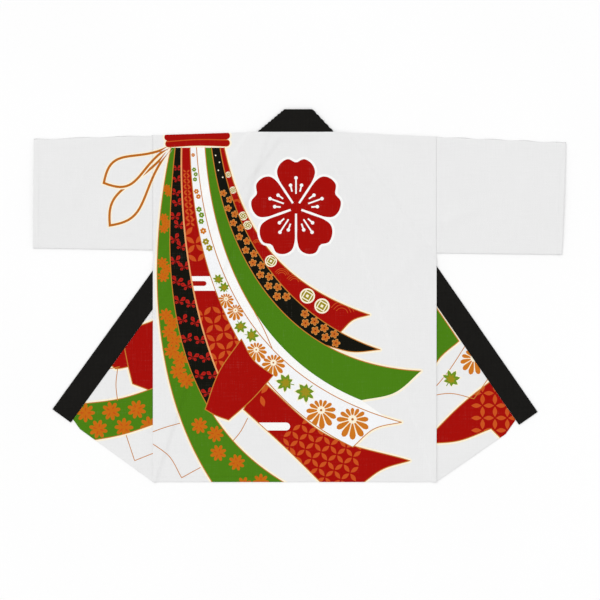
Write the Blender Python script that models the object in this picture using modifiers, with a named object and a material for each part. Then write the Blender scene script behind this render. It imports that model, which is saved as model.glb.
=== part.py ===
# Happi coat laid flat, back upwards: the back panel lies on top, and each front is folded
# open under it, so that it shows beyond the side with the collar band as its outer edge.
# Metres, +Z up. +X runs across the coat and +Y from its hem to its collar. Sizes are worked
# out from the back's hem (y = 0) and centre line (x = 0), with z = 0 the surface that the
# coat lies on; the root empty then brings the middle of the outline to the origin.

import math
from collections import namedtuple

import bmesh
import bpy
from mathutils import Vector

COAT = "happi_coat"

# Cloth
CLOTH = 0.0010               # wall of a single panel
BAND = 0.0020                # wall of the doubled collar band
GAP = 0.0003                 # left between pieces that touch
CLIP = 0.0010                # each front is clipped this far in where its fold meets the band
CLIP_HALF = 0.0080           # and this far to both sides of that point

# Body
BODY_LENGTH = 0.820          # hem to the neck end of the shoulders
BODY_HALF = 0.332            # centre line to side edge
NECK_HALF = 0.0925           # centre line to where the collar seam meets the shoulder
BAND_WIDTH = 0.053

# How the upper layers step over what lies under them
CLEAR = 0.0020               # a layer is at full height this far past an edge below it
BAND_RUN = 0.0120            # length of the slope down from the band
CLOTH_RUN = 0.0100           # length of the slope down from a fold
NECK_RUN = 0.0300            # length of the slope down from the back of the neck
ROLL_FACETS = 6              # flat strips round a folded edge

# Sleeve
SLEEVE_STEPS = 8             # across the sleeve, from underarm seam to shoulder fold
SleeveRing = namedtuple("SleeveRing", "share rise")
SLEEVE_RINGS = (             # share of the way to the cuff, and how far the top cloth bows up
    SleeveRing(0.00, 0.0000),
    SleeveRing(0.15, 0.0004),
    SleeveRing(0.35, 0.0010),
    SleeveRing(0.60, 0.0013),
    SleeveRing(0.85, 0.0018),
    SleeveRing(1.00, 0.0022),
)

# The two sides as they lie. lean is the angle of the front's fold from upright, seam the
# distance of the band's seam from the centre line before the front is folded open, and the
# hem of each front is drawn up by tuck_rise at the band, over tuck_run. Behind the neck, the
# band turns under at turn_out from the centre line, and there leans in by turn_slant.
SideSizes = namedtuple(
    "SideSizes",
    "name sign lean seam underarm cuff_low_x cuff_low_y cuff_top_x cuff_top_y tuck_rise tuck_run"
    " turn_out turn_slant",
)
SIDES = (
    SideSizes(
        "left", -1, 17.95, 0.0941, 0.5435, 0.6132, 0.5482, 0.6109, 0.8036, 0.009, 0.026,
        0.0885, 1.20,
    ),
    SideSizes(
        "right", 1, 17.35, 0.0966, 0.5365, 0.6261, 0.5330, 0.6355, 0.7956, 0.014, 0.038,
        0.0925, 0.95,
    ),
)

WHITE_COTTON = ((0.80, 0.80, 0.79, 1.0), 0.85)
BLACK_COTTON = ((0.012, 0.011, 0.010, 1.0), 0.80)


def ramp(distance, run):
    """1 up to distance 0, then straight down to 0 at the end of the run."""
    return min(1.0, max(0.0, 1.0 - distance / run))


class Line:
    """A straight line in plan, with a normal; distance is signed along the normal."""

    def __init__(self, point, normal):
        self.point = Vector(point)
        self.normal = Vector(normal).normalized()

    def distance(self, place):
        return (place - self.point).dot(self.normal)

    def mirror(self, place):
        return place - 2 * self.distance(place) * self.normal


class Side:
    """One side of the coat: where its front folds, and how high its layers lie."""

    def __init__(self, sizes):
        self.sizes = sizes
        self.name = sizes.name
        self.sign = sizes.sign
        lean = math.radians(sizes.lean)
        self.fold = Line(
            (self.sign * BODY_HALF, 0.0),
            (-self.sign * math.cos(lean), -math.sin(lean)),
        )
        seam_foot = self.fold.mirror(Vector((self.sign * sizes.seam, 0.0)))
        self.band = Line(seam_foot, (self.sign * math.cos(2 * lean), math.sin(2 * lean)))
        self.band_along = Vector((-self.sign * math.sin(2 * lean), math.cos(2 * lean)))

    def shoulder(self, out):
        """Height in Y of the shoulder line, at a distance from the centre line."""
        drop = BODY_LENGTH - self.sizes.cuff_top_y
        return BODY_LENGTH - drop * (out - NECK_HALF) / (self.sizes.cuff_top_x - NECK_HALF)

    def along_band(self, place, rise):
        """The place reached along the folded-out band, at a rise in Y from another."""
        return place + self.band_along * (rise / self.band_along.y)

    def ground(self, place):
        """Height of the folded-out front and its band, for the layer that lies on them."""
        past_seam = self.band.distance(place)
        past_band = max(-past_seam, past_seam - BAND_WIDTH) - CLEAR
        over_band = (BAND + GAP) * ramp(past_band, BAND_RUN)
        past_front = max(past_seam / BAND_WIDTH, (self.fold.distance(place) - CLEAR) / CLOTH_RUN)
        over_front = (CLOTH + GAP) * ramp(past_front, 1.0)
        return max(over_band, over_front)

    def ground_creases(self):
        """The lines where ground changes slope, as pairs of a line and an offset from it."""
        level = BAND_RUN * (1 - (CLOTH + GAP) / (BAND + GAP))
        offsets = (
            -CLEAR - BAND_RUN,
            -CLEAR - level,
            -CLEAR,
            BAND_WIDTH + CLEAR,
            BAND_WIDTH + CLEAR + BAND_RUN,
        )
        return [(self.band, offset) for offset in offsets]

    def back_ground(self, place):
        """Height of all that lies under the back: the unfolded front, on the ground."""
        over_front = (CLOTH + GAP) * ramp(self.fold.distance(place) - CLEAR, CLOTH_RUN)
        return self.ground(place) + over_front

    def neck_crease(self):
        """The line along which the band turns under at the end of the neck."""
        return Line((self.sign * self.sizes.turn_out, BODY_LENGTH), (self.sign, self.sizes.turn_slant))


def neck_ground(place):
    """The back rises to the middle of the band where it is sewn to it behind the neck."""
    below_neck = (BODY_LENGTH - place.y - CLEAR) / NECK_RUN
    beside_neck = (abs(place.x) - NECK_HALF - CLEAR) / NECK_RUN
    lift = (BAND + GAP) + (BAND - CLOTH) / 2
    return lift * ramp(max(below_neck, beside_neck), 1.0)


def cut_cloth(*outlines):
    """A flat sheet cut to one or more outlines, which share the edges where they join."""
    bm = bmesh.new()
    for outline in outlines:
        corners = [bm.verts.new((*corner, 0.0)) for corner in outline]
        edges = [bm.edges.new((a, b)) for a, b in zip(corners, corners[1:] + corners[:1])]
        bmesh.ops.contextual_create(bm, geom=edges)
    bmesh.ops.remove_doubles(bm, verts=bm.verts, dist=0.00005)
    bmesh.ops.recalc_face_normals(bm, faces=bm.faces)
    return bm


def score(bm, line, offset):
    """Mark the sheet along a line, so that it can bend there."""
    place = line.point + offset * line.normal
    bmesh.ops.bisect_plane(
        bm,
        geom=bm.verts[:] + bm.edges[:] + bm.faces[:],
        dist=0.000001,
        plane_co=(*place, 0.0),
        plane_no=(*line.normal, 0.0),
    )


def score_roll(bm, line, roll_width):
    """Mark the strips of a roll that is centred on a line, and takes up roll_width of cloth."""
    for step in range(ROLL_FACETS + 1):
        score(bm, line, roll_width * (step / ROLL_FACETS - 0.5))


def fold_under(bm, line, roll_width, upper, lower):
    """Turn what lies beyond a line under the rest, round the roll that is marked there.

    upper gives the height of the cloth's middle over the roll, from a place, and lower is
    its height under the roll.
    """
    for vert in bm.verts:
        place = vert.co.xy
        past_start = line.distance(place) + roll_width / 2
        if past_start < 0.000002:
            continue
        start = place - past_start * line.normal
        if past_start > roll_width - 0.000002:
            vert.co = (*line.mirror(place), lower)
            continue
        turn = math.pi * past_start / roll_width
        radius = (upper(start) - lower) / 2
        place = start + radius * math.sin(turn) * line.normal
        vert.co = (*place, lower + radius * (1 + math.cos(turn)))


def make_piece(bm, name, wall, finish, coat, root):
    """Give a sheet its wall, evenly to both sides, and put it into the coat."""
    bmesh.ops.triangulate(bm, faces=bm.faces)
    mesh = bpy.data.meshes.new(name)
    bm.to_mesh(mesh)
    bm.free()
    piece = bpy.data.objects.new(name, mesh)
    coat.objects.link(piece)
    piece.parent = root
    mesh.materials.append(make_cotton(name, *finish))
    solidify = piece.modifiers.new("wall", "SOLIDIFY")
    solidify.thickness = wall
    solidify.offset = 0.0
    solidify.use_even_offset = True
    return piece


def make_cotton(name, colour, roughness):
    """Plain cotton for one piece."""
    cotton = bpy.data.materials.new(name + "_cotton")
    cotton.use_nodes = True
    shader = cotton.node_tree.nodes["Principled BSDF"]
    shader.inputs["Base Color"].default_value = colour
    shader.inputs["Roughness"].default_value = roughness
    shader.inputs["Metallic"].default_value = 0.0
    return cotton


def make_back(sides):
    """The back panel, which steps over the fronts that lie under it."""
    outline = []
    for side in sides:
        corners = [
            (side.sign * BODY_HALF, 0.0),
            (side.sign * BODY_HALF, side.shoulder(BODY_HALF)),
            (side.sign * NECK_HALF, BODY_LENGTH),
        ]
        outline += corners if side.sign > 0 else corners[::-1]
    bm = cut_cloth(outline)
    for side in sides:
        for line, offset in side.ground_creases():
            score(bm, line, offset)
        score(bm, side.fold, CLEAR)
        score(bm, side.fold, CLEAR + CLOTH_RUN)
        for offset in (CLEAR, CLEAR + NECK_RUN):
            score(bm, Line((side.sign * NECK_HALF, 0.0), (side.sign, 0.0)), offset)
    for offset in (CLEAR, CLEAR + NECK_RUN):
        score(bm, Line((0.0, BODY_LENGTH), (0.0, -1.0)), offset)
    score(bm, Line((0.0, 0.0), (1.0, 0.0)), 0.0)
    for vert in bm.verts:
        place = vert.co.xy
        under = max(side.back_ground(place) for side in sides)
        vert.co.z = max(under, neck_ground(place)) + CLOTH / 2
    return bm


def make_front(side):
    """A front: one straight panel, folded open along a line from its outer hem corner."""
    sizes = side.sizes
    seam = sizes.seam + GAP
    fold_top = (BODY_HALF - seam) / math.tan(math.radians(sizes.lean))
    outline = (
        (side.sign * BODY_HALF, 0.0),
        (side.sign * (seam + sizes.tuck_run), 0.0),
        (side.sign * seam, sizes.tuck_rise),
        (side.sign * seam, fold_top - CLIP_HALF),
        (side.sign * (seam + CLIP), fold_top),
        (side.sign * seam, fold_top + CLIP_HALF),
        (side.sign * seam, side.shoulder(seam)),
        (side.sign * BODY_HALF, side.shoulder(BODY_HALF)),
    )
    bm = cut_cloth(outline)

    def middle(place):
        return side.ground(place) + CLOTH / 2

    for line, offset in side.ground_creases():
        score(bm, line, offset)
    roll_width = math.pi * (CLOTH + GAP) / 2
    score_roll(bm, side.fold, roll_width)
    for vert in bm.verts:
        vert.co.z = middle(vert.co.xy)
    fold_under(bm, side.fold, roll_width, middle, CLOTH / 2)
    return bm


def make_band(sides):
    """The collar band: flat behind the neck, and turned under to run down both fronts."""
    roll_width = math.pi * (BAND + GAP) / 2
    neck_middle = BAND + GAP + BAND / 2
    neck_edge = []
    outlines = []
    for side in sides:
        crease = side.neck_crease()
        to_crease = (roll_width / 2 + GAP * crease.normal.y) / abs(crease.normal.x)
        low = Vector((side.sign * (side.sizes.turn_out - to_crease), BODY_LENGTH + GAP))
        lean_in = Vector((-side.sign * side.sizes.turn_slant, 1.0))
        top = low + lean_in * (BAND_WIDTH - GAP)
        neck_edge += [low, top][::side.sign]
        low_turned = low + roll_width * crease.normal
        top_turned = top + roll_width * crease.normal
        outlines.append([low, low_turned, top_turned, top])
        inner_foot = side.band.point
        outer_foot = inner_foot + BAND_WIDTH * side.band.normal
        inner_top = side.along_band(inner_foot, BODY_LENGTH - inner_foot.y)
        to_turn = (-roll_width / 2 - crease.distance(outer_foot)) / side.band_along.dot(crease.normal)
        outer_top = outer_foot + to_turn * side.band_along
        leg = [crease.mirror(corner) for corner in (inner_top, inner_foot, outer_foot, outer_top)]
        outlines.append([top_turned] + leg + [low_turned])
    bm = cut_cloth(neck_edge, *outlines)
    for side in sides:
        score_roll(bm, side.neck_crease(), roll_width)
    for vert in bm.verts:
        vert.co.z = neck_middle
    for side in sides:
        fold_under(bm, side.neck_crease(), roll_width, lambda place: neck_middle, BAND / 2)
    return bm


def make_sleeve(side):
    """A sleeve: one flat tube, folded along the shoulder and open at armhole and cuff."""
    sizes = side.sizes
    armhole = BODY_HALF + GAP
    radius = (CLOTH + GAP) / 2
    inset = radius + CLOTH / 2
    armhole_low = Vector((armhole, sizes.underarm + inset))
    armhole_top = Vector((armhole, side.shoulder(armhole) - inset))
    cuff_low = Vector((sizes.cuff_low_x, sizes.cuff_low_y + inset))
    cuff_top = Vector((sizes.cuff_top_x, sizes.cuff_top_y - inset))
    shares = [step / SLEEVE_STEPS for step in range(SLEEVE_STEPS + 1)]
    turns = [math.pi * facet / ROLL_FACETS for facet in range(1, ROLL_FACETS)]
    bm = bmesh.new()
    loops = []
    for ring in SLEEVE_RINGS:
        low = armhole_low.lerp(cuff_low, ring.share)
        top = armhole_top.lerp(cuff_top, ring.share)
        under = [(*low.lerp(top, share), CLOTH / 2) for share in shares]
        over = [
            (x, y, z + 2 * radius + ring.rise * math.sin(math.pi * share))
            for (x, y, z), share in zip(under, shares)
        ]
        fold = [
            (top.x, top.y + radius * math.sin(turn), CLOTH / 2 + radius * (1 - math.cos(turn)))
            for turn in turns
        ]
        seam = [
            (low.x, low.y - radius * math.sin(turn), CLOTH / 2 + radius * (1 + math.cos(turn)))
            for turn in turns
        ]
        verts = [bm.verts.new((side.sign * x, y, z)) for x, y, z in under + fold + over[::-1] + seam]
        loops.append([bm.edges.new(pair) for pair in zip(verts, verts[1:] + verts[:1])])
    for first, second in zip(loops, loops[1:]):
        bmesh.ops.bridge_loops(bm, edges=first + second)
    bmesh.ops.recalc_face_normals(bm, faces=bm.faces)
    return bm


def outline_middle(pieces):
    """The middle of the coat's outline in plan, from the pieces as they are built."""
    graph = bpy.context.evaluated_depsgraph_get()
    places = []
    for piece in pieces:
        mesh = piece.evaluated_get(graph).data
        places += [vert.co.xy for vert in mesh.vertices]
    xs = [place.x for place in places]
    ys = [place.y for place in places]
    return Vector(((min(xs) + max(xs)) / 2, (min(ys) + max(ys)) / 2, 0.0))


def main():
    for old in list(bpy.data.objects):
        bpy.data.objects.remove(old)
    coat = bpy.data.collections.new(COAT)
    bpy.context.scene.collection.children.link(coat)
    root = bpy.data.objects.new("coat_root", None)
    coat.objects.link(root)

    sides = [Side(sizes) for sizes in SIDES]
    pieces = [make_piece(make_back(sides), "back_body", CLOTH, WHITE_COTTON, coat, root)]
    for side in sides:
        front = make_front(side)
        pieces.append(make_piece(front, "front_" + side.name, CLOTH, WHITE_COTTON, coat, root))
        sleeve = make_sleeve(side)
        pieces.append(make_piece(sleeve, "sleeve_" + side.name, CLOTH, WHITE_COTTON, coat, root))
    pieces.append(make_piece(make_band(sides), "collar_band", BAND, BLACK_COTTON, coat, root))
    root.location = -outline_middle(pieces)
    bpy.context.view_layer.update()


main()
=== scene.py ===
# Happi coat laid flat on a pale floor, back upwards, printed with a knot of ribbons.
# Everything is worked out in the coat's own plan, in metres: x from the centre back, y up
# from the hem and z up from the floor. inFrame then moves it to where the frame holds it.

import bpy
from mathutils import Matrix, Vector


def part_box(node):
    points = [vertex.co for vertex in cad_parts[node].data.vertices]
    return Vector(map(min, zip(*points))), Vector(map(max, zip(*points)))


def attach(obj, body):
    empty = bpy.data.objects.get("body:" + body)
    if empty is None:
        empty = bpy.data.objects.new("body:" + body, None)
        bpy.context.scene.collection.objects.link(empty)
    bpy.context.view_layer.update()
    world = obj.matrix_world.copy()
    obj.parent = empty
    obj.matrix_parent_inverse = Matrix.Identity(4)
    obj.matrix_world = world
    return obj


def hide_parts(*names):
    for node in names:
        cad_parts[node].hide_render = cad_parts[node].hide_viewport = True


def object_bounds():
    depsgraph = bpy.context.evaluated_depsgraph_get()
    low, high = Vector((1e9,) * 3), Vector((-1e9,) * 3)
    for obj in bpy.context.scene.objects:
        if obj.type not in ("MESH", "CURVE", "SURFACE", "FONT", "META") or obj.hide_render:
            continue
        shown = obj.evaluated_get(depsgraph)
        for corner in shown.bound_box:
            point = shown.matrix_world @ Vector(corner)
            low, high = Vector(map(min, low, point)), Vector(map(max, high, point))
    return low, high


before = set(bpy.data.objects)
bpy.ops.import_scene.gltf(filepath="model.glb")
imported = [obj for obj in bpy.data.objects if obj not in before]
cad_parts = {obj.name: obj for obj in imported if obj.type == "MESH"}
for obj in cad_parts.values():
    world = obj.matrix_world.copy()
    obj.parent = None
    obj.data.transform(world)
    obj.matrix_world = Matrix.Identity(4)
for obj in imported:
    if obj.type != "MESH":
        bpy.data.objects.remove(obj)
cadBox = [list(corner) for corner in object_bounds()]

import math

import bpy
from mathutils import Vector, noise
from mathutils.geometry import delaunay_2d_cdt

backLow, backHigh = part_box("back_body")
planOrigin = Vector(((backLow.x + backHigh.x) / 2, backLow.y, cadBox[0][2]))


def inFrame(place):
    return planOrigin + Vector(place)


def intoScene(name, data):
    made = bpy.data.objects.new(name, data)
    bpy.context.scene.collection.objects.link(made)
    return made


# camera, light and floor
stage = {
    "viewWidth": 1.406,            # what the camera takes in across, at the floor
    "cameraHeight": 3.5,
    "cameraAim": (0.0012, -0.0110),
    "skyStrength": 0.80,
    "lampStrength": 0.86,
    "lampSpread": 50.0,            # degrees
    "lampTurn": (38.0, 0.0, -140.0),
    "floorSize": 24.0,
    "floorGap": 0.0002,            # the floor is this far under the coat
}


def makeStage():
    scene = bpy.context.scene
    scene.view_settings.view_transform = "Standard"
    lens = bpy.data.cameras.new("camera")
    lens.lens = lens.sensor_width * stage["cameraHeight"] / stage["viewWidth"]
    scene.camera = intoScene("camera", lens)
    scene.camera.location = (*stage["cameraAim"], stage["cameraHeight"])

    sky = bpy.data.worlds.new("studio")
    sky.use_nodes = True
    sockets = sky.node_tree.nodes["Background"].inputs
    sockets["Color"].default_value = (1, 1, 1, 1)
    sockets["Strength"].default_value = stage["skyStrength"]
    scene.world = sky

    lamp = bpy.data.lights.new("softLamp", "SUN")
    lamp.energy = stage["lampStrength"]
    lamp.angle = math.radians(stage["lampSpread"])
    turn = [math.radians(degrees) for degrees in stage["lampTurn"]]
    intoScene("softLamp", lamp).rotation_euler = turn

    half = stage["floorSize"] / 2
    sheet = bpy.data.meshes.new("floor")
    corners = [(-half, -half, 0), (half, -half, 0), (half, half, 0), (-half, half, 0)]
    sheet.from_pydata(corners, [], [(0, 1, 2, 3)])
    sheet.materials.append(paleFloor())
    floor = intoScene("floor", sheet)
    floor.location.z = cadBox[0][2] - stage["floorGap"]


# finishes
class Wire:
    # a socket that can be used in sums; each sum adds its Math node
    def __init__(self, finish, socket):
        self.finish = finish
        self.socket = socket

    def maths(self, operation, *values):
        sockets = {index: value for index, value in enumerate(values)}
        return self.finish.node("ShaderNodeMath", {"operation": operation}, sockets)

    def __add__(self, other):
        return self.maths("ADD", self, other)

    def __radd__(self, other):
        return self.maths("ADD", other, self)

    def __sub__(self, other):
        return self.maths("SUBTRACT", self, other)

    def __rsub__(self, other):
        return self.maths("SUBTRACT", other, self)

    def __mul__(self, other):
        return self.maths("MULTIPLY", self, other)

    def __rmul__(self, other):
        return self.maths("MULTIPLY", other, self)

    def sine(self):
        return self.maths("SINE", self)


class Finish:
    # a material, the one method that adds nodes to it, and what feeds its shader
    def __init__(self, name):
        self.material = bpy.data.materials.new(name)
        self.material.use_nodes = True
        self.tree = self.material.node_tree
        self.shader = self.tree.nodes["Principled BSDF"]

    def node(self, kind, settings={}, sockets={}, out=0):
        made = self.tree.nodes.new(kind)
        for name, value in settings.items():
            if name == "stops":
                ramp = made.color_ramp
                while len(ramp.elements) < len(value):
                    ramp.elements.new(1.0)
                for element, (place, colour) in zip(ramp.elements, value):
                    element.position = place
                    element.color = (*colour, 1.0)
            else:
                setattr(made, name, value)
        self.feed(made, sockets)
        return Wire(self, made.outputs[out])

    def feed(self, made, sockets):
        for name, value in sockets.items():
            if isinstance(value, Wire):
                self.tree.links.new(value.socket, made.inputs[name])
            else:
                made.inputs[name].default_value = value

    def paint(self, sockets):
        self.feed(self.shader, sockets)

    def grey(self, shade):
        return self.node("ShaderNodeCombineXYZ", {}, {0: shade, 1: shade, 2: shade})

    def mixColours(self, blend, share, first, second):
        settings = {"data_type": "RGBA", "blend_type": blend}
        return self.node("ShaderNodeMix", settings, {0: share, 6: first, 7: second}, out=2)


def linear(red, green, blue):
    # screen colour, 0 to 255, as the light that a surface gives back
    shares = [value / 255 for value in (red, green, blue)]
    return tuple(s / 12.92 if s <= 0.04045 else ((s + 0.055) / 1.055) ** 2.4 for s in shares)


weave = {
    "threadPitch": 0.0011,         # from one thread to the next
    "threadDepth": 0.00010,
    "slubAcross": 620.0,           # how fine the uneven threads are across their run
    "slubAlong": 16.0,             # and along it
    "slubDepth": 0.00012,
    "nepScale": 260.0,
}


def wovenHeight(finish):
    # threads over and under each other, some thicker than others
    place = finish.node("ShaderNodeTexCoord", out=3)
    turn = 2 * math.pi / weave["threadPitch"]
    warp, weft = (
        (finish.node("ShaderNodeSeparateXYZ", {}, {0: place}, out=axis) * turn).sine()
        for axis in (0, 1)
    )
    slubs = []
    for scale in (
        (weave["slubAcross"], weave["slubAlong"], 1.0),
        (weave["slubAlong"], weave["slubAcross"], 1.0),
    ):
        stretched = finish.node(
            "ShaderNodeVectorMath", {"operation": "MULTIPLY"}, {0: place, 1: scale}
        )
        slubs.append(finish.node(
            "ShaderNodeTexNoise", {}, {"Vector": stretched, "Scale": 1.0, "Detail": 2.0}
        ))
    slub = (slubs[0] + slubs[1]) - 1.0
    height = warp * weft * weave["threadDepth"] + slub * weave["slubDepth"]
    return place, slub, height


cottonLook = {
    "roughness": 0.86,
    "inkRoughness": 0.74,
    "slubShade": 0.05,             # how much the uneven threads lighten and darken it
    "driftShade": 0.030,           # and how much it drifts from place to place
    "shine": 0.05,
    "wear": 0.09,                  # how much cloth shows through thin ink
}


def printedCotton():
    finish = Finish("printedCotton")
    place, slub, height = wovenHeight(finish)
    ink = finish.node("ShaderNodeAttribute", {"attribute_name": "ink"})
    inked = finish.node("ShaderNodeAttribute", {"attribute_name": "ink"}, out=3)
    drift = finish.node("ShaderNodeTexNoise", {}, {"Vector": place, "Scale": 7.0, "Detail": 3.0})
    shade = 1.0 + slub * cottonLook["slubShade"] + (drift - 0.5) * cottonLook["driftShade"]
    colour = finish.mixColours("MULTIPLY", 1.0, ink, finish.grey(shade))
    # where the print lies thin on the thickest threads, the cloth shows through a little
    thick = slub * 2.2 - 0.35
    thin = thick.maths("MAXIMUM", thick, 0.0) * inked * cottonLook["wear"]
    worn = finish.mixColours("MIX", thin, colour, (*linear(235, 226, 214), 1.0))
    finish.paint({"Base Color": worn, "Specular IOR Level": cottonLook["shine"]})
    loss = cottonLook["roughness"] - cottonLook["inkRoughness"]
    roughness = cottonLook["roughness"] - inked * loss + slub * 0.05
    bump = finish.node("ShaderNodeBump", {}, {"Distance": 1.0, "Height": height})
    finish.paint({"Roughness": roughness, "Normal": bump})
    return finish.material


def blackCotton():
    finish = Finish("blackCotton")
    place, slub, height = wovenHeight(finish)
    lint = finish.node(
        "ShaderNodeTexNoise", {}, {"Vector": place, "Scale": weave["nepScale"], "Detail": 1.0}
    )
    lightness = slub + (lint - 0.5) * 0.6 + 0.5
    colour = finish.mixColours(
        "MIX", lightness, (*linear(19, 18, 16), 1.0), (*linear(30, 29, 27), 1.0)
    )
    bump = finish.node("ShaderNodeBump", {}, {"Distance": 1.0, "Height": height})
    finish.paint({"Base Color": colour, "Roughness": 0.84 + slub * 0.1})
    finish.paint({"Normal": bump, "Specular IOR Level": 0.06})
    return finish.material


def sewingThread(name, colour=None):
    # thread with a twist, with painted light and shade along it: lighter on the ridges of the twist,
    # darker between them; without a colour of its own it is dyed like the cloth that it is sewn through
    finish = Finish(name)
    place = finish.node("ShaderNodeTexCoord", out=3)
    twist = finish.node(
        "ShaderNodeTexWave", {"bands_direction": "DIAGONAL"},
        {"Vector": place, "Scale": 900.0, "Distortion": 1.5},
        out=1,
    )
    dye = (*(colour or (0, 0, 0)), 1.0)
    if colour is None:
        dye = finish.node("ShaderNodeAttribute", {"attribute_name": "ink"})
    # painted light and shade: the colour is lighter on the ridges of the twist and darker between them
    shade = 0.92 + twist * 0.1
    twistLitColour = finish.mixColours("MULTIPLY", 1.0, dye, finish.grey(shade))
    bump = finish.node("ShaderNodeBump", {}, {"Distance": 0.0001, "Height": twist})
    finish.paint({"Base Color": twistLitColour, "Roughness": 0.7, "Normal": bump, "Specular IOR Level": 0.1})
    return finish.material


def paleFloor():
    finish = Finish("paleFloor")
    place = finish.node("ShaderNodeTexCoord", out=3)
    cloud = finish.node("ShaderNodeTexNoise", {}, {"Vector": place, "Scale": 2.0, "Detail": 2.0})
    pale = (*linear(251, 251, 251), 1.0)
    white = (*linear(254, 254, 254), 1.0)
    colour = finish.mixColours("MIX", cloud, pale, white)
    finish.paint({"Base Color": colour, "Roughness": 0.9, "Specular IOR Level": 0.1})
    return finish.material


inks = {
    "cloth": (239, 239, 239),
    "red": (167, 10, 4),
    "green": (75, 129, 18),
    "black": (17, 17, 10),
    "white": (253, 253, 251),
    "pale": (248, 249, 251),       # the broad white ribbon
    "cream": (255, 245, 220),
    "amber": (200, 126, 48),       # the fine line round each ribbon
    "peach": (236, 164, 104),      # the line between the black and the red ribbon
    "cord": (190, 108, 26),
    "orange": (200, 106, 16),      # blooms on green
    "ember": (196, 82, 18),
    "gold": (208, 120, 32),        # chrysanthemums
    "rust": (205, 84, 30),         # linked rings on red
    "wing": (182, 30, 22),
    "wine": (122, 14, 12),
    "sakura": (200, 108, 34),
    "sand": (222, 160, 88),
    "olive": (158, 142, 28),
    "leaf": (112, 146, 32),
}
inkColours = {name: linear(*colour) for name, colour in inks.items()}


# lines and outlines in plan; outlineStep is how close together the places of a curve are
outlineStep = 0.0042


def towards(angle):
    return Vector((math.cos(angle), math.sin(angle)))


def leftOf(run):
    return Vector((-run.y, run.x))


def extent(ring):
    xs = [place.x for place in ring]
    ys = [place.y for place in ring]
    return min(xs), min(ys), max(xs), max(ys)


class Line:
    # a straight line in plan; distance is signed along its normal
    def __init__(self, point, normal):
        self.point = Vector(point)
        self.normal = Vector(normal).normalized()

    def distance(self, place):
        return (place - self.point).dot(self.normal)

    def mirror(self, place):
        return place - 2 * self.distance(place) * self.normal


def smooth(points):
    # a rounded line through the points
    through = [Vector(point) for point in points]
    if len(through) == 2:
        return splitLine(through[0], through[1], outlineStep)
    ends = [2 * through[0] - through[1]], [2 * through[-1] - through[-2]]
    through = ends[0] + through + ends[1]
    line = []
    for a, b, c, d in zip(through, through[1:], through[2:], through[3:]):
        count = max(1, round((c - b).length / outlineStep))
        for index in range(count):
            t = index / count
            line.append(0.5 * (
                2 * b + (c - a) * t + (2 * a - 5 * b + 4 * c - d) * t ** 2
                + (3 * b - a - 3 * c + d) * t ** 3
            ))
    return line + [through[-2]]


def splitLine(start, end, step):
    start, end = Vector(start), Vector(end)
    count = max(1, round((end - start).length / step))
    return [start.lerp(end, index / count) for index in range(count + 1)]


def splitRing(corners, step):
    ring = []
    for a, b in zip(corners, corners[1:] + corners[:1]):
        ring += splitLine(a, b, step)[:-1]
    return ring


def evenly(line, count):
    # the same line with places at equal distances along it
    lengths = [0.0]
    for a, b in zip(line, line[1:]):
        lengths.append(lengths[-1] + (b - a).length)
    places, index = [], 0
    for step in range(count + 1):
        wanted = lengths[-1] * step / count
        while index < len(line) - 2 and lengths[index + 1] < wanted:
            index += 1
        run = max(lengths[index + 1] - lengths[index], 1e-9)
        places.append(line[index].lerp(line[index + 1], (wanted - lengths[index]) / run))
    return places


def sides(line, half, closed=False):
    # the line moved half a width to its left and to its right
    left, right = [], []
    last = len(line) - 1
    for index, place in enumerate(line):
        before = line[index - 1] if index or closed else place
        after = line[(index + 1) % len(line)] if index < last or closed else place
        first = (place - before).normalized() if place != before else (after - place).normalized()
        second = (after - place).normalized() if after != place else first
        along = (first + second).normalized() if (first + second).length > 0.2 else second
        lean = max(0.55, along.dot(second))
        out = leftOf(along) * half / lean
        left.append(place + out)
        right.append(place - out)
    return left, right


def ringArea(ring):
    return sum(a.x * b.y - b.x * a.y for a, b in zip(ring, ring[1:] + ring[:1])) / 2


def disc(centre, radius, count=14):
    turns = [2 * math.pi * index / count for index in range(count)]
    return [centre + radius * towards(turn) for turn in turns]


def lobed(centre, radius, lobes, depth, turn=0.0, sharp=1.0):
    # a flower's outline: lobes rounded at their tips and drawn in between them
    count = lobes * 6
    outline = []
    for index in range(count):
        angle = 2 * math.pi * index / count
        swing = abs(math.cos(lobes * angle / 2)) ** sharp
        reach = radius * (1 - depth + depth * swing)
        outline.append(centre + reach * towards(angle + turn))
    return outline


def leafShape(centre, angle, near, far, width, broad=0.5, count=7):
    # a leaf or petal from near to far from the centre, broadest at that share of its length
    along = towards(angle)
    across = leftOf(along)
    power = math.log(0.5) / math.log(broad)
    shares = [index / count for index in range(count + 1)]
    spine = [centre + along * (near + (far - near) * share) for share in shares]
    halves = [across * width / 2 * math.sin(math.pi * share ** power) for share in shares]
    right = [place - half for place, half in zip(spine, halves)]
    left = [place + half for place, half in zip(spine, halves)]
    return right + left[-2:0:-1]


# the print, as one list of shapes; a later shape lies on an earlier one
class Shape:
    def __init__(self, ring, ink, within=None):
        self.ring = ring if ringArea(ring) > 0 else ring[::-1]
        self.ink = ink
        self.within = within       # the shape that this one shows in, if not everywhere

    def box(self):
        return extent(self.ring)


class Print:
    def __init__(self):
        self.shapes = []

    def lay(self, ring, ink, within=None):
        self.shapes.append(Shape(ring, ink, within))
        return self.shapes[-1]

    def draw(self, line, width, ink, within=None):
        left, right = sides(line, width / 2)
        return self.lay(left + right[::-1], ink, within)

    def outline(self, runs, width, ink, within=None):
        # lines that follow each other, with their joints rounded
        for run in runs:
            self.draw(run, width, ink, within)
            self.lay(disc(run[0], width / 2, 8), ink, within)
        self.lay(disc(runs[-1][-1], width / 2, 8), ink, within)


def blossom(art, centre, radius, turn, within):
    # five petals with a paler rim and a dark heart
    art.lay(lobed(centre, radius * 1.13, 5, 0.44, turn, 0.7), "sand", within)
    art.lay(lobed(centre, radius, 5, 0.50, turn, 0.7), "sakura", within)
    art.lay(disc(centre, radius * 0.2, 8), "wine", within)


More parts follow.
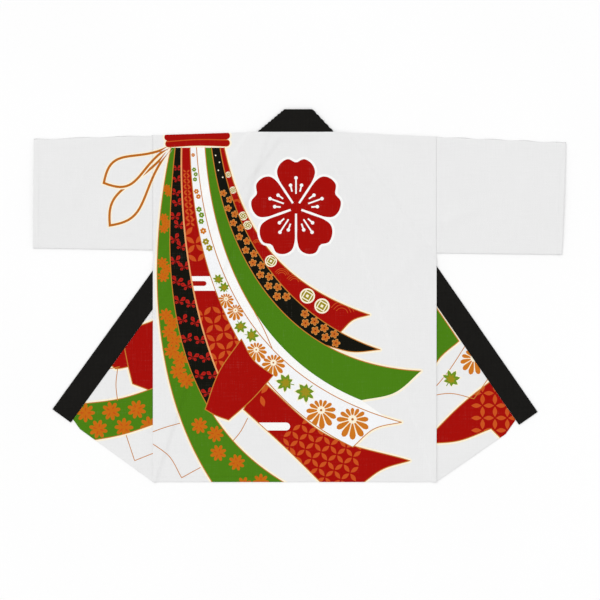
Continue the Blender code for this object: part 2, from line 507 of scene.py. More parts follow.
def leafyBloom(art, centre, radius, turn, within):
    # a bloom of eight notched petals, with darker veins
    art.lay(lobed(centre, radius * 1.04, 8, 0.46, turn, 0.9), "orange", within)
    for petal in range(0, 8, 2):
        angle = turn + math.pi * petal / 4
        art.lay(leafShape(centre, angle, radius * 0.18, radius * 0.62, radius * 0.14), "ember", within)


def chrysanthemum(art, centre, radius, turn, within):
    # long petals below and short ones above, with thin gaps over a paler ground
    def at(out, angle):
        return centre + out * towards(angle)

    petals = 12
    half = math.pi / petals
    reaches = [radius * (1 - 0.28 * math.sin(turn + 2 * half * petal)) for petal in range(petals)]
    angles = [turn + 2 * half * petal for petal in range(petals)]
    art.lay([at(0.76 * far, angle) for far, angle in zip(reaches, angles)], "cream", within)
    for far, angle in zip(reaches, angles):
        flank = ((0.27 * radius, 0.62), (0.55 * far, 0.80), (0.80 * far, 0.76), (0.94 * far, 0.46))
        ring = [at(out, angle - share * half) for out, share in flank] + [at(far, angle)]
        ring += [at(out, angle + share * half) for out, share in flank[::-1]]
        art.lay(ring, "gold", within)
    art.lay(disc(centre, radius * 0.09, 6), "cord", within)


def mapleLeaf(art, centre, radius, turn, within):
    # seven pointed lobes and a short stalk, paler inside
    for grown, ink in ((1.16, "cream"), (1.0, "leaf"), (0.55, "olive")):
        outline = []
        for lobe, reach in enumerate((0.72, 0.9, 1.0, 1.04, 1.0, 0.9, 0.72)):
            angle = turn + math.radians(-138 + 46 * lobe)
            for swing, share in ((-23, 0.58), (-11, 0.80), (0, 1.0), (11, 0.80)):
                spoke = angle + math.radians(swing)
                far = grown * radius * share * reach
                outline.append(centre + far * towards(spoke))
        for swing, share in ((-19, 0.50), (-6, 0.42), (-3, 0.80), (3, 0.80), (6, 0.42)):
            spoke = turn + math.pi + math.radians(swing)
            far = grown * radius * share
            outline.append(centre + far * towards(spoke))
        art.lay(outline, ink, within)


def butterfly(art, centre, size, turn, within):
    wings = ((48, 1.15, 0.62), (-48, 1.15, 0.62), (115, 0.74, 0.46), (-115, 0.74, 0.46))
    for swing, far, width in wings:
        angle = turn + math.radians(swing)
        art.lay(leafShape(centre, angle, 0.03 * size, far * size, width * size, 0.66), "wing", within)
        spot = (0.50 * far * size, 0.86 * far * size, 0.13 * size)
        art.lay(leafShape(centre, angle, *spot, 0.6, 4), "wine", within)
    art.lay(leafShape(centre, turn, -0.45 * size, 0.30 * size, 0.15 * size), "wine", within)


def coin(art, centre, radius, turn, within):
    # a coin with a lozenge round its hole
    art.lay(disc(centre, radius, 20), "cream", within)
    art.lay(disc(centre, radius * 0.80, 18), "olive", within)
    for reach, ink in ((0.80, "cream"), (0.60, "olive"), (0.24, "cream")):
        corners = [turn + math.pi / 2 * side for side in range(4)]
        ring = [centre + radius * reach * towards(corner) for corner in corners]
        art.lay(ring, ink, within)


def linkedRings(art, within, origin, spacing, turn, reach, keep):
    # petals between the crossings of overlapping rings, where keep says so
    across = towards(turn)
    up = leftOf(across)
    for row in range(-reach, reach + 1):
        for column in range(-reach, reach + 1):
            node = Vector(origin) + spacing * (column * across + row * up)
            for direction, angle in ((across, turn), (up, turn + math.pi / 2)):
                middle = node + direction * spacing / 2
                if keep(middle):
                    petal = leafShape(node, angle, spacing * 0.08, spacing * 0.92, spacing * 0.36)
                    art.lay(petal, "rust", within)


# the bundle of ribbons that hangs from the knot
knotFoot = 0.783                   # where the ribbons come out from under the knot
seams = {                          # along the right of each ribbon: start, two pulls, end
    "outer": ((-0.290, knotFoot), (-0.34, 0.55), (-0.35, 0.22), (-0.18, -0.02)),
    "green": ((-0.280, knotFoot), (-0.31, 0.50), (-0.31, 0.14), (0.01, -0.02)),
    "black": ((-0.265, knotFoot), (-0.27, 0.60), (-0.24, 0.36), (-0.15, 0.19)),
    "red": ((-0.245, knotFoot), (-0.24, 0.51), (-0.14, 0.21), (0.14, 0.08)),
    "white": ((-0.230, knotFoot), (-0.21, 0.47), (-0.08, 0.23), (0.25, 0.14)),
    "narrow": ((-0.210, knotFoot), (-0.19, 0.50), (-0.07, 0.28), (0.16, 0.19)),
    "grass": ((-0.195, knotFoot), (-0.16, 0.51), (-0.01, 0.27), (0.30, 0.26)),
    "night": ((-0.175, knotFoot), (-0.14, 0.56), (-0.01, 0.38), (0.20, 0.31)),
    "coins": ((-0.165, knotFoot), (-0.12, 0.58), (-0.03, 0.46), (0.18, 0.39)),
}
ribbons = {                        # left seam and its end, right seam and its end, ink, bow of the tail
    "coins": ("night", 0.35, "coins", 0.39, "red", 0.12),
    "night": ("grass", 0.32, "night", 0.31, "black", -0.08),
    "grass": ("narrow", 0.19, "grass", 0.26, "green", -0.12),
    "narrow": ("white", 0.15, "narrow", 0.19, "white", None),
    "white": ("red", 0.08, "white", 0.14, "pale", 0.12),
    "red": ("black", 0.19, "red", 0.25, "red", None),
    "black": ("green", 0.17, "black", 0.19, "black", 0.0),
    "green": ("outer", -0.02, "green", -0.02, "green", None),
}
turnedPiece = (                    # corners of the red ribbon's turned-over end, with the bow after each
    ((-0.125, 0.335), -0.06), ((-0.210, 0.170), -0.04), ((-0.155, 0.145), -0.03), ((-0.050, 0.250), 0.10),
)
lowPiece = (                       # and of the ribbon that comes out below it, to the hem
    ((-0.12, 0.17), 0.01), ((0.07, -0.01), 0.0), ((0.15, -0.01), 0.08), ((0.27, 0.05), 0.10),
    ((-0.08, 0.24), 0.0),
)
ribbonLook = {"halo": 0.0105, "edge": 0.0021, "thin": 0.0019}


def pulled(a, b, c, d):
    # a line that leaves a towards b and comes to d from c
    a, b, c, d = (Vector(point) for point in (a, b, c, d))
    count = round(((b - a).length + (c - b).length + (d - c).length) / outlineStep)
    shares = [index / count for index in range(count + 1)]
    return [(1 - t) ** 3 * a + 3 * t * (1 - t) ** 2 * b + 3 * t * t * (1 - t) * c + t ** 3 * d
            for t in shares]


def bowed(a, b, bow):
    # a line from a to b that bows to its left by that share of its length
    a, b = Vector(a), Vector(b)
    run = b - a
    return smooth([a, (a + b) / 2 + leftOf(run) * bow, b] if bow else [a, b])


def pieceSides(corners):
    # the sides of a piece, from its corners and the bow of the side after each
    return [bowed(a, b, bow) for (a, bow), (b, _) in zip(corners, corners[1:] + corners[:1])]


def joined(runs):
    # the closed outline that lines make, which follow each other
    return [place for run in runs for place in run[:-1]]


class Ribbon:
    # a ribbon between two seams; at gives a place by its shares along and across
    def __init__(self, row):
        leftSeam, leftEnd, rightSeam, rightEnd, self.ink, bow = row
        left = [place for place in pulled(*seams[leftSeam]) if place.y >= leftEnd]
        right = [place for place in pulled(*seams[rightSeam]) if place.y >= rightEnd]
        tail = [] if bow is None else [bowed(left[-1], right[-1], bow)]
        self.ring = left + (tail[0][1:-1] if tail else []) + right[::-1]
        self.runs = [right, left] + tail
        self.left, self.right = evenly(left, 100), evenly(right, 100)
        self.length = sum((b - a).length for a, b in zip(self.left, self.left[1:]))

    def at(self, along, across=0.5):
        index = min(99, int(along * 100))
        share = along * 100 - index
        left = self.left[index].lerp(self.left[index + 1], share)
        right = self.right[index].lerp(self.right[index + 1], share)
        run = self.left[index + 1] + self.right[index + 1] - self.left[index] - self.right[index]
        out = leftOf(run).normalized()
        width = (right - left).dot(out)
        return (left + right) / 2 + out * width * (across - 0.5), abs(width)

    def row(self, along, count, step, across=(0.5,)):
        # places that follow each other down the ribbon, a step of its width apart, and its width there
        places = []
        for number in range(count):
            places.append(self.at(min(along, 0.99), across[number % len(across)]))
            along += step * places[-1][1] / self.length
        return places


def layBundle(art):
    look = ribbonLook
    cut = {name: Ribbon(row) for name, row in ribbons.items()}
    turned, low = pieceSides(turnedPiece), pieceSides(lowPiece)
    for runs in [ribbon.runs for ribbon in cut.values()] + [turned, low]:
        art.outline(runs, look["halo"], "cream")
    art.draw(bowed((-0.11, 0.15), (-0.15, 0.09), 0.05), look["thin"], "amber")
    layLowPiece(art, art.lay(joined(low), "red"))
    art.outline(low, look["edge"], "amber")
    for name, ribbon in cut.items():
        ribbon.shape = art.lay(ribbon.ring, ribbon.ink)
        if name in printers:
            printers[name](art, ribbon)
    for name, ribbon in cut.items():
        if name == "grass":
            art.outline(ribbon.runs[:1], look["edge"], "amber")
        elif name == "narrow":
            # its edge leaves the green ribbon and slips across to the white one
            slip = [place for place in ribbon.runs[0] if place.y > 0.40]
            meets = [place for place in ribbon.runs[1] if place.y > 0.31][-1]
            art.outline([slip, bowed(slip[-1], meets, 0.02)], look["edge"], "amber")
        else:
            art.outline(ribbon.runs, look["edge"], "amber")
    art.draw(cut["red"].runs[1], look["edge"] * 1.7, "peach")
    art.lay(joined(turned), "red")
    art.outline(turned, look["edge"], "amber")


# what is printed on each ribbon; along and across are shares of its length and its width
ringPatterns = {                   # a place where rings cross, their spacing, turn, and how many each way
    "ribbon": ((-0.19, 0.37), 0.030, 0.90, 14),
    "lowPiece": ((0.04, 0.055), 0.0265, 0.62, 9),
    "front": ((0.44, 0.15), 0.029, 0.0, 4),
}
coinsPrint = {
    "coins": ((0.12, 1), (0.19, 1), (0.31, 2), (0.54, 1), (0.76, 2)),    # along, how many
    "apart": 2.3,                  # radii from one to the next
    "turn": 0.25,
    "arcs": ((0.25, 0.35), (0.45, 0.35), (0.62, 0.35), (0.68, 0.60), (0.93, 0.60)),  # along, across
    "arcTurns": (0.2, 0.8, 1.4, 2.0, 2.6),
    "arcReaches": (0.20, 0.32, 0.44),
    "arcWidth": 0.0014,
}


def printCoins(art, ribbon):
    for along, across in coinsPrint["arcs"]:
        middle, width = ribbon.at(along, across)
        for reach in coinsPrint["arcReaches"]:
            radius = 0.003 + width * reach
            arc = [middle + radius * towards(turn) for turn in coinsPrint["arcTurns"]]
            art.draw(smooth(arc), coinsPrint["arcWidth"], "rust", ribbon.shape)
    for along, count in coinsPrint["coins"]:
        radius = 0.0050 + 0.017 * along
        for number in range(count):
            place, _ = ribbon.at(along + number * coinsPrint["apart"] * radius / ribbon.length)
            coin(art, place, radius, coinsPrint["turn"], ribbon.shape)


nightPrint = {
    "dots": (0.03, 4, 0.8, (0.35, 0.65)),                # along, how many, step, across
    "dotRadius": 0.0018,
    "blossoms": (0.15, 0.92),      # from and to
    "across": (0.69, 0.31),
    "bare": (0.68, 0.75),          # a stretch without them
    "largest": 0.0092,
}


def printNight(art, ribbon):
    for place, _ in ribbon.row(*nightPrint["dots"]):
        art.lay(disc(place, nightPrint["dotRadius"], 6), "cream", ribbon.shape)
    along, end = nightPrint["blossoms"]
    number = 0
    while along < end:
        number += 1
        along += 0.033 - 0.011 * along
        place, width = ribbon.at(along, nightPrint["across"][number % 2])
        size = min(nightPrint["largest"], 0.0050 + width * 0.10)
        if not nightPrint["bare"][0] < along < nightPrint["bare"][1]:
            blossom(art, place, size, number * 1.3, ribbon.shape)


whitePrint = {
    "rings": ((0.02, 1, "gold"), (0.06, 3, "leaf"), (0.12, 2, "gold"), (0.17, 3, "leaf"),
              (0.23, 1, "gold"), (0.26, 2, "olive")),    # along, how many, ink
    "ringStep": 0.65,
    "ringAcross": (0.42, 0.58),
    "flowers": (0.37, 0.95),       # from and to
    "flowerAcross": (0.42, 0.62),
    "leafStep": 0.72,
    "flowerStep": 0.92,
}


def printWhite(art, ribbon):
    # small rings in ones, twos and threes, then leaves and chrysanthemums by twos
    for along, count, ink in whitePrint["rings"]:
        radius = 0.0045 + 0.014 * along
        for place, _ in ribbon.row(along, count, whitePrint["ringStep"], whitePrint["ringAcross"]):
            art.lay(lobed(place, radius, 6, 0.25, place.y * 60), ink, ribbon.shape)
            art.lay(disc(place, radius * 0.22, 6), "cream", ribbon.shape)
    along, end = whitePrint["flowers"]
    number = 0
    while along < end:
        place, width = ribbon.at(along, whitePrint["flowerAcross"][number % 2])
        if number % 4 < 2:
            mapleLeaf(art, place, 0.005 + 0.28 * width, 1.2 + number, ribbon.shape)
            along += whitePrint["leafStep"] * width / ribbon.length
        else:
            chrysanthemum(art, place, 0.004 + 0.38 * width, number, ribbon.shape)
            along += whitePrint["flowerStep"] * width / ribbon.length
        number += 1


redPrint = {
    "ringHeights": ((-1.0, 0.41), (0.51, 0.59)),          # where linked rings show, up from the hem
    "sprays": (0.10, 9, 0.58),     # along, how many, step
    "sprayTurns": (0.7, 2.4, 3.9, 5.5),
    "slot": ((-0.26, 0.465), (-0.18, 0.465)),
    "slotWidth": 0.034,
    "tongue": ((-0.26, 0.465), (-0.212, 0.465)),
    "tongueWidth": 0.0115,
    "tipRadius": 0.0057,
}


def printRed(art, ribbon):
    def keep(spot):
        return any(low < spot.y < high for low, high in redPrint["ringHeights"])

    linkedRings(art, ribbon.shape, *ringPatterns["ribbon"], keep)
    for place, width in ribbon.row(*redPrint["sprays"]):
        for swing in redPrint["sprayTurns"]:
            petal = leafShape(place, swing, 0.001, width * 0.44, width * 0.17)
            art.lay(petal, "rust", ribbon.shape)
    slot, tongue = ([Vector(end) for end in redPrint[name]] for name in ("slot", "tongue"))
    art.draw(slot, redPrint["slotWidth"], "white", ribbon.shape)
    art.draw(tongue, redPrint["tongueWidth"], "red", ribbon.shape)
    art.lay(disc(tongue[1], redPrint["tipRadius"], 10), "red", ribbon.shape)


blackPrint = {"butterflies": (0.08, 0.95), "largest": 0.0150, "turn": 1.6, "sway": 0.35, "spread": 0.25}


def printBlack(art, ribbon):
    # butterflies in twos, one a little below the other, with a pause after each two
    along, end = blackPrint["butterflies"]
    number = 0
    while along < end:
        _, width = ribbon.at(along)
        spread = min(blackPrint["spread"], max(0.0, width * 9 - 0.16)) * (-1 if number % 2 else 1)
        place, _ = ribbon.at(along, 0.5 - spread)
        size = min(blackPrint["largest"], 0.0030 + width * 0.35)
        turn = blackPrint["turn"] + blackPrint["sway"] * math.sin(number * 2.4)
        butterfly(art, place, size, turn, ribbon.shape)
        along += 0.052 if number % 2 else 0.056 - 0.036 * min(1.0, width / 0.05)
        number += 1


greenPrint = {
    "blooms": ((0.11, 2), (0.19, 3), (0.31, 3), (0.45, 8), (0.76, 7)),   # along, how many
    "step": 0.48,
    "across": (0.38, 0.66, 0.42, 0.62),
    "largest": 0.019,
}


def printGreen(art, ribbon):
    for along, count in greenPrint["blooms"]:
        for place, width in ribbon.row(along, count, greenPrint["step"], greenPrint["across"]):
            size = min(greenPrint["largest"], 0.004 + width * 0.30)
            leafyBloom(art, place, size, place.y * 40, ribbon.shape)


printers = {
    "coins": printCoins, "night": printNight, "white": printWhite, "red": printRed,
    "black": printBlack, "green": printGreen,
}
lowPrint = {
    "ringMiddle": (0.06, 0.05),    # linked rings show this far round it
    "ringReach": 0.10,
    "ringEnd": 0.15,
    "sprayFoot": (-0.08, 0.205),
    "sprayTurns": (0.9, 5.0),
    "slot": ((-0.13, 0.13), (-0.02, 0.13)),
    "slotWidth": 0.0185,
    "tipRadius": 0.0092,
}


def layLowPiece(art, shape):
    middle = Vector(lowPrint["ringMiddle"])

    def keep(spot):
        return (spot - middle).length < lowPrint["ringReach"] and spot.x < lowPrint["ringEnd"]

    linkedRings(art, shape, *ringPatterns["lowPiece"], keep)
    for angle in lowPrint["sprayTurns"]:
        petal = leafShape(Vector(lowPrint["sprayFoot"]), angle, 0.003, 0.030, 0.0115)
        art.lay(petal, "rust", shape)
    slot = [Vector(end) for end in lowPrint["slot"]]
    art.draw(slot, lowPrint["slotWidth"], "white", shape)
    art.lay(disc(slot[1], lowPrint["tipRadius"], 14), "white", shape)


# the knot, its cords, the large blossom and the loose fine lines
knot = {
    "rollRadius": 0.0085,
    "topRoll": ((-0.297, 0.8075), (-0.160, 0.811), 0.01),        # ends and bow
    "lowRoll": ((-0.295, 0.792), (-0.160, 0.794), 0.02),
    "crease": ((-0.302, 0.797), (-0.155, 0.801), 0.02),
    "rollHalo": 0.0040,            # the pale rim round both rolls
    "rollLine": 0.0010,            # the fine line round the lower one
    "creaseWidth": 0.0022,
    "cordWidth": 0.0056,
    "cordHalo": 0.0115,
    "cordStart": (-0.285, 0.790),
    "loops": ((232, 0.240, 0.062, 0.74), (209, 0.185, 0.066, 0.72)),  # angle, length, width, broadest
}
emblem = {
    "centre": (0.003, 0.6420),
    "radius": 0.1000,
    "stretch": 1.10,
    "halo": 0.0055,
    "heart": 0.135,                # shares of the radius from here on
    "heartRim": 0.3,
    "petal": ((0.10, 0.045), (0.34, 0.215), (0.58, 0.385), (0.78, 0.445), (0.95, 0.36),
              (1.04, 0.19), (0.975, 0.03)),              # half of it: out and aside
    "threads": ((-0.26, 0.36, 0.50), (0.0, 0.30, 0.64), (0.26, 0.36, 0.50)),  # swing, from, to
    "threadWidth": 0.0036,
    "tipRadius": 0.0042,
}


def layCords(art):
    for angle, length, width, broad in knot["loops"]:
        line = leafShape(Vector(knot["cordStart"]), math.radians(angle), 0.0, length, width, broad, 26)
        line.append(line[0])
        art.draw(line, knot["cordHalo"], "cream")
        art.draw(line, knot["cordWidth"], "cord")


def layKnot(art):
    radius = knot["rollRadius"]
    layRoll(art, "lowRoll", radius, "amber")
    layRoll(art, "lowRoll", radius - knot["rollLine"], "red")
    layRoll(art, "topRoll", radius, "red")
    art.draw(bowed(*knot["crease"]), knot["creaseWidth"], "rust")


def layRoll(art, name, radius, ink):
    line = bowed(*knot[name])
    art.draw(line, 2 * radius, ink)
    for end in (line[0], line[-1]):
        art.lay(disc(end, radius, 18), ink)


def layEmblem(art):
    # a bold five-petalled blossom, its petals parted by thin white lines
    centre, radius = Vector(emblem["centre"]), emblem["radius"]

    def at(angle, out, aside=0.0):
        along = towards(angle)
        place = out * along + aside * leftOf(along)
        return centre + radius * Vector((place.x, place.y * emblem["stretch"]))

    angles = [math.pi / 2 + 2 * math.pi * petal / 5 for petal in range(5)]
    petals = []
    for angle in angles:
        outline = [at(angle, out, aside) for out, aside in emblem["petal"]]
        outline += [at(angle, out, -aside) for out, aside in emblem["petal"][::-1]]
        petals.append(smooth(outline))
    for ring in petals:
        art.outline([ring + ring[:1]], 2 * emblem["halo"], "white")
    art.lay(disc(centre, radius * emblem["heartRim"], 24), "white")
    for ring in petals:
        art.lay(ring, "red")
    art.lay(disc(centre, radius * emblem["heart"], 20), "red")
    for angle in angles:
        for swing, near, far in emblem["threads"]:
            foot, tip = at(angle + swing, near), at(angle + swing, far)
            art.draw([foot, tip], emblem["threadWidth"], "white")
            art.lay(disc(tip, emblem["tipRadius"], 10), "white")


backLines = (                      # ends and bow
    ((-0.34, 0.115), (-0.26, 0.14), 0.02),
    ((-0.34, 0.095), (-0.265, 0.01), 0.10),
    ((-0.265, 0.01), (-0.21, 0.04), 0.0),
)


def printOfBack():
    art = Print()
    for line in backLines:
        art.draw(bowed(*line), ribbonLook["thin"], "amber")
    for name in ("lowRoll", "topRoll"):
        layRoll(art, name, knot["rollRadius"] + knot["rollHalo"], "cream")
    layBundle(art)
    layCords(art)
    layKnot(art)
    layEmblem(art)
    return art.shapes


def printOfSleeve():
    art = Print()
    layCords(art)
    return art.shapes


frontPieces = {                    # ends of ribbons on the fronts as they lie folded out: corners and bows
    "leftRed": ("red", (((-0.30, 0.39), 0.03), ((-0.43, 0.35), 0.05), ((-0.39, 0.27), 0.0),
                        ((-0.38, 0.23), 0.0), ((-0.30, 0.20), 0.0))),
    "smallRed": ("red", (((-0.45, 0.29), 0.0), ((-0.42, 0.265), -0.03), ((-0.39, 0.27), 0.0),
                         ((-0.40, 0.32), 0.0))),
    "rightGreen": ("green", (((0.31, 0.44), 0.0), ((0.385, 0.33), -0.08), ((0.31, 0.24), 0.0))),
    "rightRed": ("red", (((0.49, 0.26), -0.03), ((0.30, 0.09), -0.07), ((0.46, 0.125), 0.0),
                         ((0.485, 0.10), -0.12), ((0.56, 0.20), 0.0))),
    "leftGreen": ("green", (((-0.29, 0.235), 0.0), ((-0.29, 0.15), 0.04), ((-0.53, 0.09), 0.0),
                            ((-0.53, 0.18), -0.05))),
}
frontLines = (                     # ends and bow
    ((-0.415, 0.265), (-0.415, 0.19), -0.05), ((-0.435, 0.265), (-0.41, 0.27), 0.0),
    ((-0.395, 0.11), (-0.375, 0.05), 0.0), ((-0.375, 0.05), (-0.30, 0.08), 0.0),
    ((0.40, 0.32), (0.31, 0.20), 0.03), ((0.31, 0.20), (0.42, 0.195), 0.09),
    ((0.42, 0.195), (0.455, 0.245), 0.0),
)
frontPrint = {
    "ringStart": 0.42,             # linked rings show beyond this
    "firstBloom": (-0.49, 0.142),
    "bloomStep": (0.03, 0.002),
    "bloomAside": 0.020,           # they stand above and below a line by turns
    "blooms": 6,
    "bloomRadius": 0.0215,
    "leaf": ((0.365, 0.24), 0.023, 1.0),                 # place, radius, turn
    "flower": ((0.42, 0.29), 0.031, 0.3),
}


def printOfFronts():
    art = Print()
    edge, halo = ribbonLook["edge"], ribbonLook["halo"]
    runs = {name: pieceSides(corners) for name, (ink, corners) in frontPieces.items()}
    for name in runs:
        art.outline(runs[name], halo, "cream")
    for name, (ink, corners) in frontPieces.items():
        shape = art.lay(joined(runs[name]), ink)
        if name == "rightRed":
            keep = lambda spot: spot.x > frontPrint["ringStart"]
            linkedRings(art, shape, *ringPatterns["front"], keep)
        if name == "leftGreen":
            (x, y), (stepX, stepY) = frontPrint["firstBloom"], frontPrint["bloomStep"]
            for number in range(frontPrint["blooms"]):
                side = frontPrint["bloomAside"] * (-1) ** number
                place = Vector((x + stepX * number, y + side + stepY * number))
                leafyBloom(art, place, frontPrint["bloomRadius"], number * 1.3, shape)
        art.outline(runs[name], edge, "amber")
    for line in frontLines:
        art.draw(bowed(*line), ribbonLook["thin"], "amber")
    for name, motif in (("leaf", mapleLeaf), ("flower", chrysanthemum)):
        place, radius, turn = frontPrint[name]
        motif(art, Vector(place), radius, turn, None)
    return art.shapes


# how the cloth lies
cloth = {
    "wall": 0.0010,
    "bandWall": 0.0020,
    "gap": 0.0003,                 # left between layers that touch
    "clear": 0.0020,               # a layer is at full height this far past an edge below it
    "bandRun": 0.0120,             # length of the slope down from the band
    "clothRun": 0.0100,            # length of the slope down from a fold
    "neckRun": 0.0300,             # length of the slope down from the back of the neck
    "hemWidth": 0.014,
    "hemLift": 0.00035,            # how much the turned-up hem raises the cloth over it
    "armholeLift": 0.00045,        # and the same for the seam of each sleeve
    "armholeWidth": 0.009,
    "rise": 0.0030,                # length of the slope up to a hem or seam
    "riseStart": 0.0008,           # and how far past the hem's width it starts
    "armholeFoot": 0.54,           # the seam of a sleeve ends here, up from the hem
    "grooveDepth": 0.0003,         # the seam itself sinks in
    "grooveHalf": 0.0004,
    "grooveRun": 0.0014,
    "pucker": 0.0003,              # the slight unevenness of all the cloth
    "puckerScale": 9,
    "sleeveLoft": 0.0024,          # how far the top of a sleeve bows up at its cuff
}
body = {"length": 0.820, "half": 0.332, "neckHalf": 0.0925, "bandWidth": 0.053}
sideRows = {                       # how each side lies, as it is seen from above
    "left": {"sign": -1, "lean": 17.95, "seam": 0.0941, "underarm": 0.5435, "tuck": (0.026, 0.009),
             "cuffLow": (0.6132, 0.5482), "cuffTop": (0.6109, 0.8036), "neckTurn": (0.0885, 1.20)},
    "right": {"sign": 1, "lean": 17.35, "seam": 0.0966, "underarm": 0.5365, "tuck": (0.038, 0.014),
              "cuffLow": (0.6261, 0.5330), "cuffTop": (0.6355, 0.7956), "neckTurn": (0.0925, 0.95)},
}
creases = [                        # soft ridges: from, to, width and height
    ((-0.330, 0.640), (-0.190, 0.520), 0.020, 0.0011),
    ((-0.415, 0.700), (-0.300, 0.600), 0.017, 0.0009),
    ((-0.400, 0.600), (-0.318, 0.560), 0.013, 0.0012),
    ((0.322, 0.565), (0.215, 0.455), 0.019, 0.0010),
    ((0.430, 0.640), (0.290, 0.590), 0.016, 0.0012),
    ((0.300, 0.700), (0.410, 0.745), 0.014, 0.0007),
    ((-0.075, 0.795), (-0.130, 0.670), 0.017, 0.0007),
    ((0.060, 0.790), (0.120, 0.640), 0.021, 0.0008),
    ((-0.030, 0.500), (0.020, 0.270), 0.026, 0.0008),
    ((0.150, 0.330), (0.205, 0.090), 0.022, 0.0010),
    ((-0.160, 0.260), (-0.235, 0.060), 0.018, 0.0007),
    ((0.250, 0.250), (0.280, 0.020), 0.015, 0.0009),
    ((-0.550, 0.770), (-0.500, 0.610), 0.018, 0.0008),
    ((0.560, 0.740), (0.520, 0.590), 0.021, 0.0009),
    ((-0.462, 0.160), (-0.415, 0.250), 0.012, 0.0006),
    ((0.470, 0.150), (0.405, 0.290), 0.013, 0.0007),
]


def ease(distance, run):
    # 1 up to distance 0, then softly down to 0 at the end of the run
    share = min(1.0, max(0.0, 1.0 - distance / run))
    return share * share * (3 - 2 * share)


class CoatSide:
    # one side of the coat: where its front is folded open, and how high its layers lie
    def __init__(self, name):
        row = sideRows[name]
        self.row, self.sign = row, row["sign"]
        lean = math.radians(row["lean"])
        sign, half = self.sign, body["half"]
        self.fold = Line((sign * half, 0.0), (-sign * math.cos(lean), -math.sin(lean)))
        foot = self.fold.mirror(Vector((sign * row["seam"], 0.0)))
        self.band = Line(foot, (sign * math.cos(2 * lean), math.sin(2 * lean)))
        self.bandAlong = Vector((-sign * math.sin(2 * lean), math.cos(2 * lean)))
        turnOut, slant = row["neckTurn"]
        self.neckCrease = Line((sign * turnOut, body["length"]), (sign, slant))
        cuffTop = Vector((sign * row["cuffTop"][0], row["cuffTop"][1]))
        neckEnd = Vector((sign * body["neckHalf"], body["length"]))
        along = (cuffTop - neckEnd).normalized()
        self.shoulderLine = Line(neckEnd, (-sign * along.y, sign * along.x))

    def shoulder(self, out):
        outer, height = self.row["cuffTop"]
        share = (out - body["neckHalf"]) / (outer - body["neckHalf"])
        return body["length"] + (height - body["length"]) * share

    def ground(self, place):
        # height of the folded-out front and its band, for the layer on them
        step = cloth["wall"] + cloth["gap"]
        pastSeam = self.band.distance(place)
        pastBand = max(-pastSeam, pastSeam - body["bandWidth"]) - cloth["clear"]
        overBand = (cloth["bandWall"] + cloth["gap"]) * ease(pastBand, cloth["bandRun"])
        pastFold = (self.fold.distance(place) - cloth["clear"]) / cloth["clothRun"]
        return max(overBand, step * ease(max(pastSeam / body["bandWidth"], pastFold), 1.0))

    def backGround(self, place):
        step = cloth["wall"] + cloth["gap"]
        pastFold = self.fold.distance(place) - cloth["clear"]
        return self.ground(place) + step * ease(pastFold, cloth["clothRun"])

    def nearSlope(self, place):
        # whether the layer on this side bends here, with a few millimetres to spare
        pastSeam, width = self.band.distance(place), body["bandWidth"]
        reach = cloth["clear"] + cloth["bandRun"] + 0.004
        atBand = -reach < pastSeam < 0.003 or width - 0.003 < pastSeam < width + reach
        return atBand or 0.0 < self.fold.distance(place) < 0.016


coatSides = {name: CoatSide(name) for name in sideRows}


def neckGround(place):
    # the back rises to the middle of the band where it is sewn to it behind the neck
    below = (body["length"] - place.y - cloth["clear"]) / cloth["neckRun"]
    beside = (abs(place.x) - body["neckHalf"] - cloth["clear"]) / cloth["neckRun"]
    return (cloth["gap"] + (3 * cloth["bandWall"] - cloth["wall"]) / 2) * ease(max(below, beside), 1.0)


def swell(place):
    # every layer rises alike over a soft ridge, so the layers never meet
    rise = 0.0
    for start, end, width, height in creases:
        start, end = Vector(start), Vector(end)
        run = end - start
        along = (place - start).dot(run) / run.length_squared
        if not -0.3 < along < 1.3:
            continue
        middle = start + run * along
        aside = (place - middle).length / (width * (0.75 + 0.5 * min(1.0, max(0.0, along))))
        if aside < 2.4:
            fade = math.sin(math.pi * (along + 0.3) / 1.6) ** 2
            rise += height * fade * math.exp(-aside * aside * 1.6)
    scale = cloth["puckerScale"]
    uneven = noise.noise(Vector((place.x * scale, place.y * scale, 0.5))) + 0.6
    return rise + cloth["pucker"] * max(0.0, uneven)


class Fold:
    # cloth past a line is turned under the rest, round a small roll
    def __init__(self, line):
        self.line = line
        self.radius = (cloth["wall"] + cloth["gap"]) / 2
        self.half = math.pi * self.radius / 2

    def lay(self, place, above, below):
        # where a place of the flat cut goes, with the heights of the upper and lower cloth
        past = self.line.distance(place)
        if past <= -self.half:
            return Vector((*place, above(place)))
        if past >= self.half:
            laid = self.line.mirror(place)
            return Vector((*laid, below(laid)))
        turn = (past + self.half) / (2 * self.half) * math.pi
        start = place - (past + self.half) * self.line.normal
        high, low = above(start), below(start)
        laid = start + (high - low) / 2 * math.sin(turn) * self.line.normal
        return Vector((*laid, (high + low) / 2 + (high - low) / 2 * math.cos(turn)))


# cutting a sheet of cloth with its print, and giving it its wall
class Grid:
    # finds whether a place is close to one already taken
    def __init__(self, cell):
        self.cell = cell
        self.taken = {}

    def key(self, place):
        return int(place.x // self.cell), int(place.y // self.cell)

    def add(self, place):
        self.taken.setdefault(self.key(place), []).append(place)

    def near(self, place, reach):
        column, row = self.key(place)
        for x in (column - 1, column, column + 1):
            for y in (row - 1, row, row + 1):
                for other in self.taken.get((x, y), ()):
                    if (other - place).length < reach:
                        return True
        return False


def insideRing(place, ring):
    inside = False
    for a, b in zip(ring, ring[1:] + ring[:1]):
        if (a.y > place.y) != (b.y > place.y):
            if place.x < a.x + (place.y - a.y) * (b.x - a.x) / (b.y - a.y):
                inside = not inside
    return inside


def edgeDistance(place, corners):
    nearest = 1.0
    for a, b in zip(corners, corners[1:] + corners[:1]):
        run = b - a
        share = min(1.0, max(0.0, (place - a).dot(run) / run.length_squared))
        nearest = min(nearest, (place - a - share * run).length)
    return nearest


